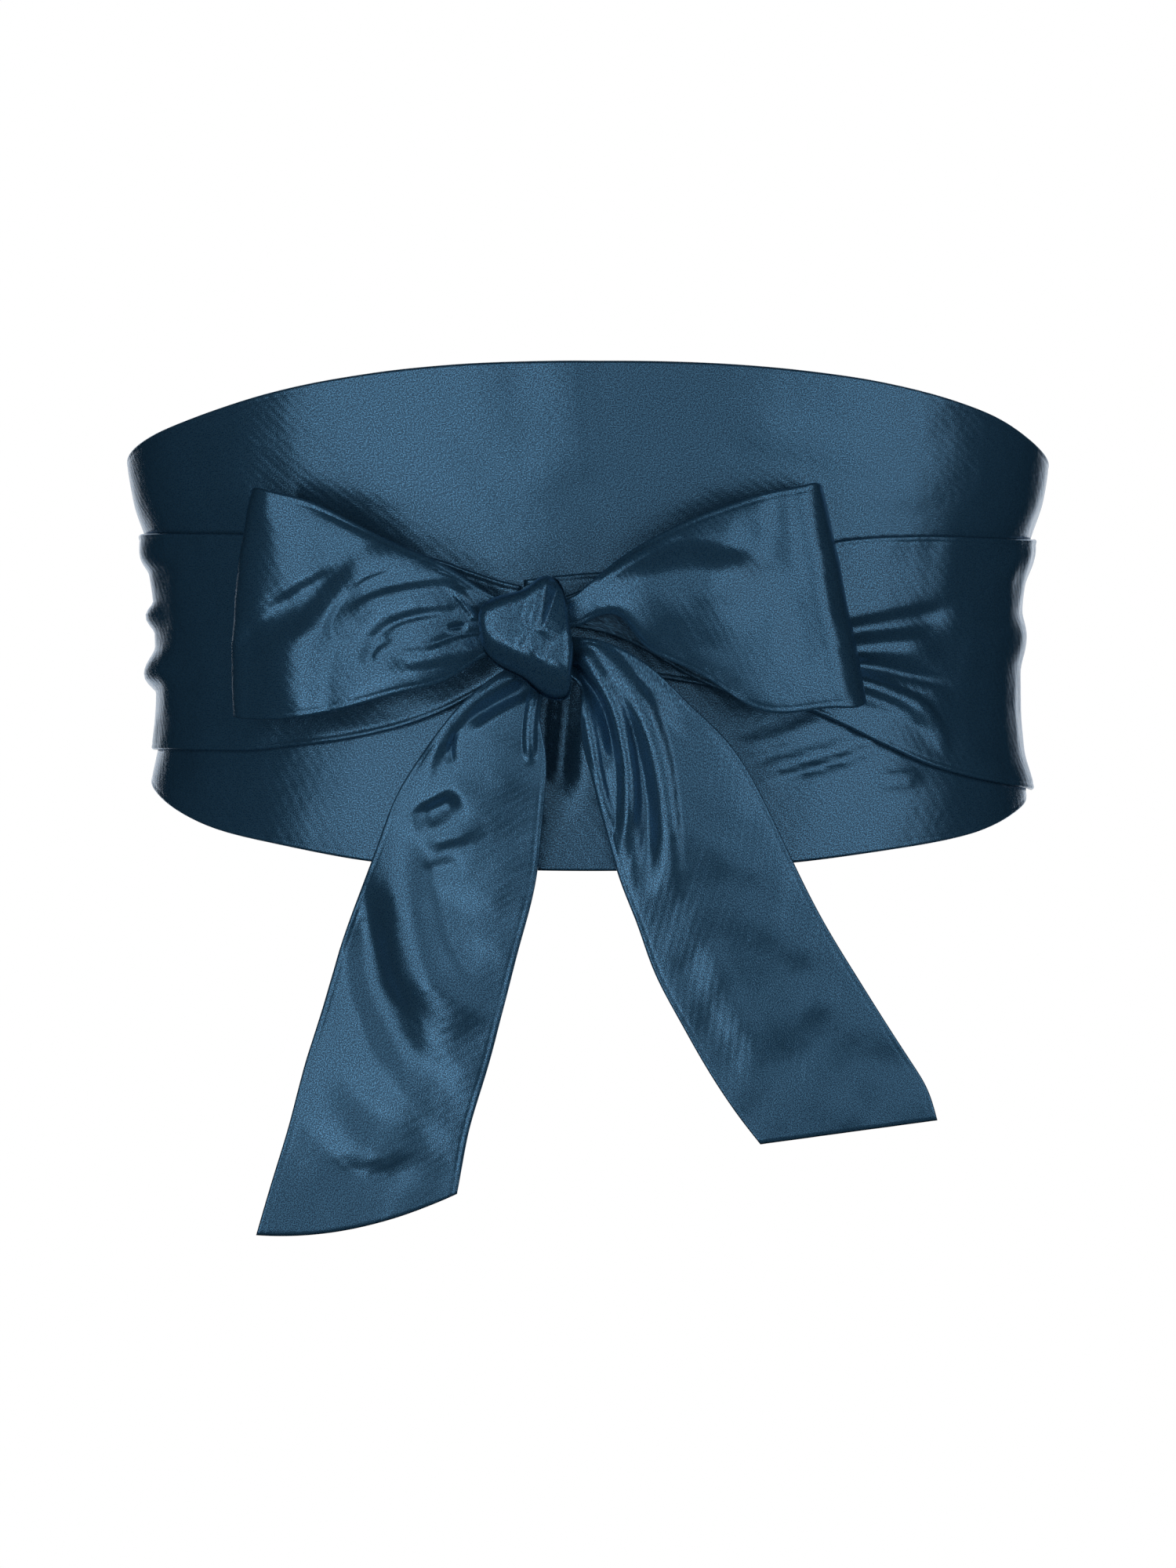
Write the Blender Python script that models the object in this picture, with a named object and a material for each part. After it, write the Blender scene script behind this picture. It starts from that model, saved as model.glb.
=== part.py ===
"""A shaped satin waist sash, worn and tied in a bow at the front.

One lens-shaped panel goes round the front and sides. A flat tie is sewn to each of
its ends. The ties cross behind the waist, come back to the front over the panel and
are knotted there in a bow with two loops and two hanging tails.

Tables are in millimetres, and the mesh is in metres. +Z is up and the front faces -Y.
The origin is the middle of the hollow that the waist fills, half way up the panel.
"""

import math

import bmesh
import bpy
import numpy as np

MM = 0.001

# Cloth thicknesses
PANEL_WALL = 2.0
TIE_WALL = 1.4

# The waist that the sash goes round, seen from above
WAIST_POWER = 2.2
WAIST_HALF_WIDTH = 123.5
WAIST_HALF_DEPTH = 90.0

# Lengths along the waist, from the centre front
PANEL_REACH = 300.0
RIGHT_TIE_MEETS = -17.2
LEFT_TIE_MEETS = 17.8

# Mesh steps
PANEL_STEPS = 64
PANEL_ROWS = 9
WRAP_STEP = 8.5
WRAP_ROWS = 9
BAND_STEP = 6.3
LOOP_ROWS = 9
TAIL_ROWS = 7
KNOT_SIDES = 30
WAIST_TURNS = 1440
FOLD_RUNS = 12
SHARP_EDGE = math.radians(55)

# How quickly a fold rises from its ends, and where the knot's creases begin
FOLD_FADE = 0.7
KNOT_CREASE_DEPTH = -114.0

SATIN_COLOUR = (0.045, 0.105, 0.175, 1.0)
SATIN_METALLIC = 0.75
SATIN_ROUGHNESS = 0.38


def table(columns, rows):
    """Named columns of numbers, with a row for each section or fold."""
    return dict(zip(columns.split(), np.array(rows, float).T))


# Half sizes of the panel's outer face at each height, pressed in where the ties pull
FLARE = table("height half_width half_depth", [
    (-75, 127.5, 91.0),
    (-48, 126.3, 90.5),
    (-36, 123.6, 90.0),
    (-20, 122.4, 89.5),
    (0, 122.8, 89.5),
    (18, 125.2, 89.8),
    (26, 128.0, 90.2),
    (35, 131.0, 90.8),
    (49, 133.2, 91.6),
    (75, 134.5, 92.6),
])

# Top and bottom edges of the panel
PANEL_CUT = table("along low top", [
    (-PANEL_REACH, -31.0, 31.0),
    (-230, -37.0, 38.5),
    (-171, -44.5, 45.5),
    (-137, -52.0, 51.3),
    (-112, -58.6, 56.2),
    (-86, -63.4, 62.0),
    (-60, -67.6, 66.4),
    (-30, -69.6, 69.2),
    (0, -70.2, 69.8),
    (30, -69.6, 69.4),
    (58, -67.8, 67.4),
    (80, -65.2, 64.6),
    (100, -62.7, 60.8),
    (117, -60.0, 56.8),
    (137, -55.6, 51.0),
    (171, -49.0, 45.0),
    (230, -40.0, 38.0),
    (PANEL_REACH, -31.0, 31.0),
])

# Each tie from the knot, round the side and past the centre back to its panel end,
# where it stops just short of the panel. The gap is from the panel's outer face, or
# below 0 where the tie lies level with the panel.
RIGHT_WRAP = table("along low top gap", [
    (RIGHT_TIE_MEETS, -14.0, 9.5, 4.8),
    (-8, -14.5, 10.8, 4.4),
    (5, -15.5, 11.8, 3.6),
    (20, -17.5, 12.2, 2.4),
    (40, -21.0, 15.5, 1.4),
    (61, -25.8, 19.5, 0.9),
    (73, -30.5, 21.5, 0.9),
    (84, -35.4, 22.4, 0.9),
    (102, -41.9, 22.9, 0.85),
    (120, -45.2, 22.9, 0.85),
    (139, -47.0, 23.2, 0.85),
    (171, -48.0, 24.3, 0.85),
    (200, -45.5, 25.0, 0.85),
    (240, -41.0, 25.5, 0.85),
    (290, -36.0, 26.5, 0.7),
    (310, -29.5, 27.0, 0.7),
    (324, -18.0, 27.5, 0.7),
    (331, -10.5, 28.0, 0.7),
    (336.4, -4.7, 28.3, 0.6),
    (343.4, 0.4, 28.5, -0.6),
    (350.4, 5.5, 29.0, -1.8),
    (358, -6.0, 29.5, -1.8),
    (367, -20.0, 30.5, -1.8),
    (376, -28.5, 31.0, -1.8),
    (386.4, -31.0, 31.0, -1.8),
])
LEFT_WRAP = table("along low top gap", [
    (LEFT_TIE_MEETS, -14.5, 8.0, 4.8),
    (23, -17.5, 9.3, 4.2),
    (31, -22.0, 12.0, 3.0),
    (41, -26.9, 15.6, 1.8),
    (54, -31.2, 18.5, 1.2),
    (70, -34.4, 21.5, 0.9),
    (85, -36.0, 22.6, 0.9),
    (101, -37.0, 23.4, 0.85),
    (120, -36.8, 24.1, 0.85),
    (141, -36.4, 24.9, 0.85),
    (171, -36.4, 25.5, 0.85),
    (200, -36.2, 26.0, 0.85),
    (240, -34.5, 26.8, 0.85),
    (290, -32.0, 30.5, 0.7),
    (310, -30.0, 27.5, 0.7),
    (324, -28.5, 18.0, 0.7),
    (331, -28.0, 10.5, 0.7),
    (336.4, -28.3, 4.7, 0.6),
    (343.4, -28.5, -0.4, -0.6),
    (350.4, -29.0, -5.5, -1.8),
    (358, -29.5, 6.0, -1.8),
    (367, -30.5, 20.0, -1.8),
    (376, -31.0, 28.5, -1.8),
    (386.4, -31.0, 31.0, -1.8),
])

FOLD_COLUMNS = "from_x from_z by_x by_z to_x to_z height width"

# Gathers that the knot, the side and the crossing behind pull into each tie
RIGHT_WRAP_FOLDS = table(FOLD_COLUMNS, [
    (18, 4, 60, 9, 108, 12, 1.0, 5.0),
    (18, -3, 60, -5, 105, -6, 1.3, 5.0),
    (20, -8, 60, -13, 112, -24, 1.5, 5.0),
    (22, -13, 60, -20, 100, -34, 1.0, 4.5),
    (215, 4, 165, -2, 120, -6, 2.7, 9.0),
    (225, -30, 180, -33, 130, -36, 0.6, 6.0),
    (343, 7, 322, 2, 270, -12, 1.4, 5.5),
    (344, 14, 320, 12, 275, 4, 1.4, 5.5),
    (343, 21, 320, 20, 285, 18, 1.1, 4.5),
])
LEFT_WRAP_FOLDS = table(FOLD_COLUMNS, [
    (24, 2, 60, 9, 104, 13, 1.0, 5.0),
    (24, -4, 60, -6, 110, -6, 1.3, 5.0),
    (24, -9, 60, -17, 108, -22, 1.3, 5.0),
    (210, 19, 170, 20, 125, 18, 0.4, 5.5),
    (215, 6, 170, 2.5, 120, 4, 2.7, 7.0),
    (225, -12, 170, -14.6, 118, -9, 3.2, 8.0),
    (343, -7, 322, -2, 270, 10, 1.4, 5.5),
    (343, -14, 320, -12, 275, -8, 1.4, 5.5),
    (343, -21, 320, -20, 285, -20, 1.1, 4.5),
])

# Each bow loop is a bent band: out from the knot in front, round, and back behind
LOOP_COLUMNS = "top_x top_y top_z low_x low_y low_z crown"
LEFT_LOOP = table(LOOP_COLUMNS, [
    (-21.0, -108.0, 3.0, -21.0, -107.5, -9.0, 0.3),
    (-29.5, -109.0, 7.0, -29.5, -107.5, -12.5, 2.0),
    (-37.0, -109.5, 12.0, -37.5, -107.0, -17.5, 4.0),
    (-49.0, -107.5, 17.5, -49.0, -105.5, -21.0, 5.0),
    (-62.0, -104.0, 24.0, -62.0, -102.5, -24.5, 4.5),
    (-75.0, -100.0, 30.5, -72.5, -98.5, -27.0, 3.5),
    (-83.0, -97.0, 33.0, -84.0, -92.5, -28.5, 2.5),
    (-87.5, -92.5, 34.5, -93.0, -85.0, -28.5, 1.5),
    (-90.0, -87.0, 35.5, -97.0, -79.0, -28.0, 0.5),
    (-89.5, -82.0, 35.5, -96.0, -75.5, -27.5, 0.0),
    (-86.0, -79.5, 34.5, -90.0, -75.0, -27.0, 0.0),
    (-69.0, -84.0, 28.0, -70.0, -83.5, -25.5, 0.0),
    (-54.0, -89.8, 20.5, -54.0, -89.3, -22.0, 0.0),
    (-37.5, -95.3, 12.5, -37.5, -94.8, -16.5, 0.0),
    (-29.5, -98.5, 7.0, -29.5, -98.0, -12.0, 0.0),
    (-21.0, -100.0, 3.0, -21.0, -100.0, -9.0, 0.0),
])
RIGHT_LOOP = table(LOOP_COLUMNS, [
    (-10.0, -108.0, 3.5, -10.0, -107.5, -3.5, 0.2),
    (-4.0, -109.0, 5.0, -3.0, -107.5, -3.5, 1.0),
    (3.0, -110.5, 10.5, 7.5, -108.0, -6.0, 3.0),
    (15.0, -110.0, 19.0, 19.5, -108.0, -10.5, 5.0),
    (27.5, -107.5, 25.5, 33.0, -106.0, -18.0, 5.5),
    (39.0, -105.0, 30.0, 46.0, -103.5, -26.0, 4.5),
    (50.0, -102.0, 33.5, 59.0, -100.0, -26.5, 3.0),
    (57.5, -99.5, 35.0, 67.5, -97.0, -25.5, 1.5),
    (61.5, -97.5, 36.0, 72.5, -94.5, -25.5, 0.0),
    (63.5, -92.0, 36.0, 76.0, -88.0, -24.5, 0.0),
    (63.5, -88.3, 35.5, 76.0, -83.5, -24.0, 0.0),
    (58.0, -88.2, 33.5, 70.0, -84.0, -24.0, 0.0),
    (41.0, -92.5, 28.0, 46.0, -92.0, -23.5, 0.0),
    (23.5, -96.2, 20.0, 27.0, -95.7, -16.5, 0.0),
    (6.5, -99.6, 10.5, 8.5, -99.2, -6.5, 0.0),
    (-10.0, -100.0, 3.5, -10.0, -100.0, -3.0, 0.0),
])
LOOP_FRONT_ROWS = 8

LEFT_LOOP_FOLDS = table(FOLD_COLUMNS, [
    (-42, 14, -78, 2, -70, -14, 1.8, 4.5),
    (-30, 0, -54, 6, -68, -4, 1.6, 4.5),
    (-26, -6, -46, -6, -66, -18, 1.4, 4.5),
    (-28, -2, -60, -8, -88, -12, -1.6, 9.0),
])
RIGHT_LOOP_FOLDS = table(FOLD_COLUMNS, [
    (2, 6, 24, 15, 45, 5, -2.6, 7.0),
    (-6, 2, 22, 4, 56, 6, 1.6, 8.0),
    (-6, 0, 14, -6, 40, -20, 1.2, 5.0),
])

# Each tail from the knot down to its slanted end. The bow is how far the middle of a
# section hangs below the line between its edges.
TAIL_COLUMNS = "left_x left_y left_z right_x right_y right_z crown bow"
LEFT_TAIL = table(TAIL_COLUMNS, [
    (-20.5, -104.0, -14.5, -10.5, -104.5, -18.0, 0.5, 0.0),
    (-34.5, -105.5, -25.0, -13.0, -107.0, -27.5, 1.5, 0.0),
    (-45.0, -104.0, -38.0, -11.5, -106.0, -37.5, 2.0, 0.0),
    (-52.0, -102.0, -49.0, -11.5, -105.0, -47.5, 2.0, 0.0),
    (-57.0, -98.5, -61.5, -12.5, -103.0, -58.0, 2.0, 0.0),
    (-61.0, -95.5, -72.0, -14.0, -101.0, -71.5, 2.0, 0.0),
    (-67.5, -90.0, -89.5, -18.5, -98.5, -90.0, 2.5, 0.0),
    (-72.5, -87.0, -106.5, -23.0, -96.0, -107.5, 3.0, 0.0),
    (-78.0, -87.0, -124.0, -28.0, -93.0, -126.0, 2.0, 0.5),
    (-82.5, -88.0, -141.0, -32.5, -90.0, -141.0, 0.0, 1.5),
    (-87.0, -90.0, -156.0, -34.5, -88.0, -151.0, -1.0, 2.8),
    (-91.0, -92.0, -170.0, -36.0, -87.0, -159.0, -1.0, 3.8),
])
RIGHT_TAIL = table(TAIL_COLUMNS, [
    (-10.0, -105.5, -15.5, -9.5, -106.0, -6.0, 0.3, 0.0),
    (-2.0, -106.5, -20.0, 5.5, -109.0, -8.0, 1.5, 0.0),
    (-1.5, -107.0, -28.5, 17.5, -109.5, -15.0, 2.5, 0.0),
    (-1.0, -107.0, -36.5, 27.5, -108.0, -24.5, 3.0, 0.0),
    (1.0, -106.5, -44.0, 35.0, -106.5, -31.5, 3.0, 0.0),
    (3.0, -106.0, -52.5, 42.5, -105.0, -41.0, 3.0, 0.0),
    (5.5, -105.0, -61.5, 50.0, -102.5, -55.0, 3.0, 0.0),
    (8.5, -103.5, -72.0, 56.0, -100.5, -67.5, 2.5, 0.0),
    (13.5, -101.0, -85.0, 64.5, -98.0, -84.0, 2.0, 0.0),
    (18.0, -99.0, -97.5, 73.0, -96.0, -98.0, 1.5, 0.0),
    (25.0, -97.0, -111.0, 81.5, -94.5, -111.5, 1.0, 0.0),
    (33.0, -95.5, -125.0, 89.0, -93.0, -123.0, 0.5, 0.0),
    (41.0, -94.7, -137.0, 93.5, -92.5, -131.0, 0.2, 0.0),
    (47.2, -94.0, -145.0, 95.8, -92.0, -138.5, 0.0, 0.0),
])
LEFT_TAIL_FOLDS = table(FOLD_COLUMNS, [
    (-24, -20, -34, -34, -48, -62, 1.6, 6.0),
    (-16, -20, -20, -40, -30, -74, 1.2, 6.0),
    (-52, -66, -50, -90, -34, -125, -2.2, 11.0),
])
RIGHT_TAIL_FOLDS = table(FOLD_COLUMNS, [
    (-4, -14, 9, -32, 11, -60, 1.8, 4.5),
    (0, -12, 14, -22, 26, -62, 1.8, 5.5),
    (-2, -16, 6, -40, 16, -78, -1.6, 5.0),
])

# The knot: its outline from the front, and how that grows and rounds off forwards
KNOT_OUTLINE = table("x z", [
    (-29.5, -4.0),
    (-29.0, 1.5),
    (-24.5, 4.5),
    (-16.5, 7.0),
    (-12.0, 10.0),
    (-9.0, 9.5),
    (-5.5, 0.5),
    (-4.0, -11.0),
    (-4.5, -17.0),
    (-5.5, -23.0),
    (-12.5, -22.5),
    (-17.0, -18.5),
    (-23.5, -15.0),
    (-28.0, -10.5),
])
KNOT_STEM = {"x": -15.5, "z": -2.5, "half_width": 4.9, "half_height": 10.5}
KNOT_MIDDLE = {"x": -15.5, "z": -5.0}
KNOT_LAYERS = table("depth cap spread", [
    (-97.8, 0.0, 0.85),
    (-98.6, 0.0, 1.0),
    (-109.9, 0.0, 1.0),
    (-111.2, 0.9, 0.93),
    (-112.6, 1.0, 1.0),
    (-115.5, 1.0, 1.0),
    (-118.6, 1.0, 0.9),
    (-121.2, 1.0, 0.7),
    (-122.8, 1.0, 0.42),
    (-123.4, 1.0, 0.14),
])
KNOT_FOLDS = table(FOLD_COLUMNS, [
    (-29, -3, -22, 1, -14, 8, 1.0, 5.0),
    (-17, 3, -18, -6, -20, -14, 0.9, 3.0),
    (-9, 8, -11, -6, -13, -10, -2.0, 4.0),
])


def ease(knots, values, at):
    """Smooth curve through a table's values that never swings past them."""
    gaps = np.diff(knots)
    rises = np.diff(values) / gaps
    before, after = rises[:-1], rises[1:]
    turns = before * after <= 0
    weight_before = 2 * gaps[1:] + gaps[:-1]
    weight_after = gaps[1:] + 2 * gaps[:-1]
    safe_before = np.where(turns, 1.0, before)
    safe_after = np.where(turns, 1.0, after)
    blended = (weight_before + weight_after) / (weight_before / safe_before + weight_after / safe_after)
    slopes = np.concatenate([[rises[0]], np.where(turns, 0.0, blended), [rises[-1]]])
    at = np.clip(at, knots[0], knots[-1])
    piece = np.clip(np.searchsorted(knots, at, side="right") - 1, 0, len(gaps) - 1)
    length = gaps[piece]
    t = (at - knots[piece]) / length
    start = (1 + 2 * t) * (1 - t) ** 2 * values[piece] + t * (1 - t) ** 2 * length * slopes[piece]
    end = t ** 2 * (3 - 2 * t) * values[piece + 1] + t ** 2 * (t - 1) * length * slopes[piece + 1]
    return start + end


def bend(knots, values, at):
    """Natural cubic spline through a table's values, as a bent strip would lie."""
    flat = values.reshape(len(knots), -1)
    gaps = np.diff(knots)
    slopes = np.diff(flat, axis=0) / gaps[:, None]
    system = np.eye(len(knots))
    pull = np.zeros_like(flat)
    for i in range(1, len(knots) - 1):
        system[i, i - 1:i + 2] = gaps[i - 1], 2 * (gaps[i - 1] + gaps[i]), gaps[i]
        pull[i] = 6 * (slopes[i] - slopes[i - 1])
    curve = np.linalg.solve(system, pull)
    piece = np.clip(np.searchsorted(knots, at, side="right") - 1, 0, len(gaps) - 1)
    length = gaps[piece][:, None]
    to_end = (knots[piece + 1] - at)[:, None] / length
    to_start = 1 - to_end
    line = to_end * flat[piece] + to_start * flat[piece + 1]
    bulge = (to_end ** 3 - to_end) * curve[piece] + (to_start ** 3 - to_start) * curve[piece + 1]
    return (line + bulge * length ** 2 / 6).reshape((len(at),) + values.shape[1:])


def between(knots, longest):
    """Stations at every row of a table, and between its rows in steps up to the longest."""
    counts = np.ceil(np.diff(knots) / longest).astype(int)
    steps = [np.linspace(a, b, n, endpoint=False) for a, b, n in zip(knots[:-1], knots[1:], counts)]
    return np.concatenate(steps + [knots[-1:]])


def fold_relief(folds, x, z):
    """How far the folds raise each point. Each is a soft ridge that fades to its ends."""
    raised = np.zeros_like(x)
    steps = np.linspace(0, 1, FOLD_RUNS + 1)
    for i in range(len(folds["height"])):
        row = {name: column[i] for name, column in folds.items()}
        start, by, end = (1 - steps) ** 2, 2 * steps * (1 - steps), steps ** 2
        route_x = start * row["from_x"] + by * row["by_x"] + end * row["to_x"]
        route_z = start * row["from_z"] + by * row["by_z"] + end * row["to_z"]
        nearest = np.full_like(x, np.inf)
        place = np.zeros_like(x)
        for j in range(FOLD_RUNS):
            run_x, run_z = route_x[j + 1] - route_x[j], route_z[j + 1] - route_z[j]
            on_run = ((x - route_x[j]) * run_x + (z - route_z[j]) * run_z) / (run_x ** 2 + run_z ** 2)
            on_run = np.clip(on_run, 0, 1)
            away = np.hypot(x - route_x[j] - on_run * run_x, z - route_z[j] - on_run * run_z)
            closer = away < nearest
            nearest = np.where(closer, away, nearest)
            place = np.where(closer, (j + on_run) / FOLD_RUNS, place)
        side = np.clip(1 - (nearest / row["width"]) ** 2, 0, 1) ** 2
        raised += row["height"] * side * np.sin(np.pi * place) ** FOLD_FADE
    return raised


def waist_section(turn, half_width, half_depth):
    """A rounded-off ellipse. Turn 0 is the centre front, and grows to the viewer's right."""
    power = 2 / WAIST_POWER
    sideways = np.sign(np.sin(turn)) * np.abs(np.sin(turn)) ** power
    forwards = np.sign(np.cos(turn)) * np.abs(np.cos(turn)) ** power
    return half_width * sideways, -half_depth * forwards


def waist_distances():
    """Turns round the waist and the distance along it from the centre front to each."""
    turns = np.linspace(0, math.pi, WAIST_TURNS + 1)
    x, y = waist_section(turns, WAIST_HALF_WIDTH, WAIST_HALF_DEPTH)
    return turns, np.concatenate([[0], np.cumsum(np.hypot(np.diff(x), np.diff(y)))])


TURNS, DISTANCES = waist_distances()
HALF_WAIST = DISTANCES[-1]


def waist_point(along, height, gap):
    """A point on the worn waist, a gap outside the panel's outer face."""
    along = np.where(along > HALF_WAIST, along - 2 * HALF_WAIST, along)
    turn = np.sign(along) * np.interp(np.abs(along), DISTANCES, TURNS)
    half_width = ease(FLARE["height"], FLARE["half_width"], height)
    half_depth = ease(FLARE["height"], FLARE["half_depth"], height)
    x, y = waist_section(turn, half_width, half_depth)
    out_x = np.sign(x) * np.abs(x / half_width) ** (WAIST_POWER - 1) / half_width
    out_y = np.sign(y) * np.abs(y / half_depth) ** (WAIST_POWER - 1) / half_depth
    size = np.hypot(out_x, out_y)
    return np.stack([x + gap * out_x / size, y + gap * out_y / size, height], axis=-1)


def facing(grid):
    """Unit normals of a grid of points."""
    cross = np.cross(np.gradient(grid, axis=0), np.gradient(grid, axis=1))
    return cross / np.linalg.norm(cross, axis=-1, keepdims=True)


def panel_faces():
    """Inner and outer points of the lens-shaped panel."""
    along = np.linspace(-PANEL_REACH, PANEL_REACH, PANEL_STEPS + 1)
    up = np.linspace(0, 1, PANEL_ROWS + 1)
    low = bend(PANEL_CUT["along"], PANEL_CUT["low"], along)[:, None]
    top = bend(PANEL_CUT["along"], PANEL_CUT["top"], along)[:, None]
    height = low + (top - low) * up
    along = np.broadcast_to(along[:, None], height.shape)
    outside = np.zeros_like(height)
    return waist_point(along, height, outside - PANEL_WALL), waist_point(along, height, outside)


def wrap_faces(rows, folds, mirror):
    """Inner and outer points of a tie's stretch round the waist."""
    stations = between(rows["along"], WRAP_STEP)
    low = ease(rows["along"], rows["low"], stations)[:, None]
    top = ease(rows["along"], rows["top"], stations)[:, None]
    gap = ease(rows["along"], rows["gap"], stations)[:, None]
    height = low + (top - low) * np.linspace(0, 1, WRAP_ROWS + 1)[None, :]
    along = np.broadcast_to(stations[:, None], height.shape)
    gap = gap + fold_relief(folds, along, height)
    faces = [waist_point(along, height, gap), waist_point(along, height, gap + TIE_WALL)]
    if mirror:
        faces = [face * (-1, 1, 1) for face in faces]
    return faces


def band_faces(rows, folds, first, second, fold_rows, across):
    """Both faces of a band of cloth that runs through its sections from edge to edge."""
    edges = [np.stack([rows[f"{edge}_{axis}"] for axis in "xyz"], axis=1) for edge in (first, second)]
    middle = (edges[0] + edges[1]) / 2
    knots = np.concatenate([[0], np.cumsum(np.linalg.norm(np.diff(middle, axis=0), axis=1))])
    stations = between(knots, BAND_STEP)
    start, end = (bend(knots, edge, stations)[:, None] for edge in edges)
    crown = bend(knots, rows["crown"], stations)[:, None]
    place = np.linspace(0, 1, across + 1)[None, :]
    grid = start * (1 - place[..., None]) + end * place[..., None]
    relief = crown * 4 * place * (1 - place)
    folded = stations[:, None] <= knots[fold_rows]
    relief = relief + folded * fold_relief(folds, grid[..., 0], grid[..., 2])
    grid = grid + facing(grid) * relief[..., None]
    if "bow" in rows:
        grid[..., 2] -= bend(knots, rows["bow"], stations)[:, None] * 4 * place * (1 - place)
    half_wall = facing(grid) * TIE_WALL / 2
    return grid - half_wall, grid + half_wall


def closed_outline(points, sides):
    """Even points round a smooth closed curve through an outline's points."""
    looped = np.concatenate([points, points, points, points[:1]])
    knots = np.concatenate([[0], np.cumsum(np.linalg.norm(np.diff(looped, axis=0), axis=1))])
    count = len(points)
    at = np.linspace(knots[count], knots[2 * count], sides, endpoint=False)
    return bend(knots, looped, at)


def knot_rings():
    """Rings of the knot from its back to its front, and the point that closes it."""
    outline = closed_outline(np.stack([KNOT_OUTLINE["x"], KNOT_OUTLINE["z"]], axis=1), KNOT_SIDES)
    middle = np.array([KNOT_MIDDLE["x"], KNOT_MIDDLE["z"]])
    angles = np.arctan2(outline[:, 1] - middle[1], outline[:, 0] - middle[0])
    stem = np.stack([
        KNOT_STEM["x"] + KNOT_STEM["half_width"] * np.cos(angles),
        KNOT_STEM["z"] + KNOT_STEM["half_height"] * np.sin(angles),
    ], axis=1)
    rings = []
    for depth, cap, spread in zip(KNOT_LAYERS["depth"], KNOT_LAYERS["cap"], KNOT_LAYERS["spread"]):
        flat = stem * (1 - cap) + outline * cap
        centre = np.array([KNOT_STEM["x"], KNOT_STEM["z"]]) * (1 - cap) + middle * cap
        flat = centre + (flat - centre) * spread
        creased = cap * (depth < KNOT_CREASE_DEPTH)
        proud = creased * fold_relief(KNOT_FOLDS, flat[:, 0], flat[:, 1])
        rings.append(np.stack([flat[:, 0], depth - proud, flat[:, 1]], axis=1))
    return np.array(rings)


def satin(name):
    """Plain satin, one material for each piece."""
    material = bpy.data.materials.new(f"{name}_satin")
    material.use_nodes = True
    shader = material.node_tree.nodes["Principled BSDF"]
    shader.inputs["Base Color"].default_value = SATIN_COLOUR
    shader.inputs["Metallic"].default_value = SATIN_METALLIC
    shader.inputs["Roughness"].default_value = SATIN_ROUGHNESS
    return material


def add_piece(name, points, faces):
    """A closed solid from points in millimetres."""
    mesh = bpy.data.meshes.new(name)
    mesh.from_pydata((np.asarray(points) * MM).tolist(), [], faces)
    shape = bmesh.new()
    shape.from_mesh(mesh)
    bmesh.ops.recalc_face_normals(shape, faces=shape.faces)
    shape.to_mesh(mesh)
    shape.free()
    mesh.shade_smooth()
    mesh.set_sharp_from_angle(angle=SHARP_EDGE)
    mesh.materials.append(satin(name))
    piece = bpy.data.objects.new(name, mesh)
    bpy.context.scene.collection.objects.link(piece)
    return piece


def add_wall(name, faces):
    """A closed cloth wall between the points of its two faces."""
    inner, outer = faces
    length, width = inner.shape[:2]
    points = np.concatenate([inner.reshape(-1, 3), outer.reshape(-1, 3)])
    over = length * width
    quads = []
    for i in range(length - 1):
        for j in range(width - 1):
            a, b = i * width + j, (i + 1) * width + j
            quads.append((a, a + 1, b + 1, b))
            quads.append((over + a, over + b, over + b + 1, over + a + 1))
    rim = [(i, 0) for i in range(length)] + [(length - 1, j) for j in range(1, width)]
    rim += [(i, width - 1) for i in range(length - 2, -1, -1)] + [(0, j) for j in range(width - 2, 0, -1)]
    corners = [i * width + j for i, j in rim]
    for a, b in zip(corners, corners[1:] + corners[:1]):
        quads.append((a, b, over + b, over + a))
    return add_piece(name, points, quads)


def add_knot():
    """The knot, with its hidden turns of cloth as one rounded solid."""
    rings = knot_rings()
    count, sides = rings.shape[:2]
    points = rings.reshape(-1, 3)
    faces = []
    for i in range(count - 1):
        for j in range(sides):
            k = (j + 1) % sides
            faces.append((i * sides + j, i * sides + k, (i + 1) * sides + k, (i + 1) * sides + j))
    back, front = len(points), len(points) + 1
    points = np.concatenate([points, [rings[0].mean(axis=0)], [rings[-1].mean(axis=0)]])
    for j in range(sides):
        k = (j + 1) % sides
        faces.append((back, k, j))
        faces.append((front, (count - 1) * sides + j, (count - 1) * sides + k))
    return add_piece("knot", points, faces)


def build():
    for old in list(bpy.data.objects):
        bpy.data.objects.remove(old)
    add_wall("front_panel", panel_faces())
    add_wall("wrap_right", wrap_faces(RIGHT_WRAP, RIGHT_WRAP_FOLDS, mirror=False))
    add_wall("wrap_left", wrap_faces(LEFT_WRAP, LEFT_WRAP_FOLDS, mirror=True))
    add_wall("bow_loop_left", band_faces(LEFT_LOOP, LEFT_LOOP_FOLDS, "top", "low", LOOP_FRONT_ROWS, LOOP_ROWS))
    add_wall("bow_loop_right", band_faces(RIGHT_LOOP, RIGHT_LOOP_FOLDS, "low", "top", LOOP_FRONT_ROWS, LOOP_ROWS))
    add_wall("tail_left", band_faces(LEFT_TAIL, LEFT_TAIL_FOLDS, "left", "right", -1, TAIL_ROWS))
    add_wall("tail_right", band_faces(RIGHT_TAIL, RIGHT_TAIL_FOLDS, "left", "right", -1, TAIL_ROWS))
    add_knot()


build()
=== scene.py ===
"""Looks for a worn satin waist sash that is tied in a bow.

Each stretch of cloth is a thin shell on its solid's form, with turned edges and with its
creases laid in. Tables are in millimetres as in the solids, and meshes in metres.
"""
import math

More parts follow.
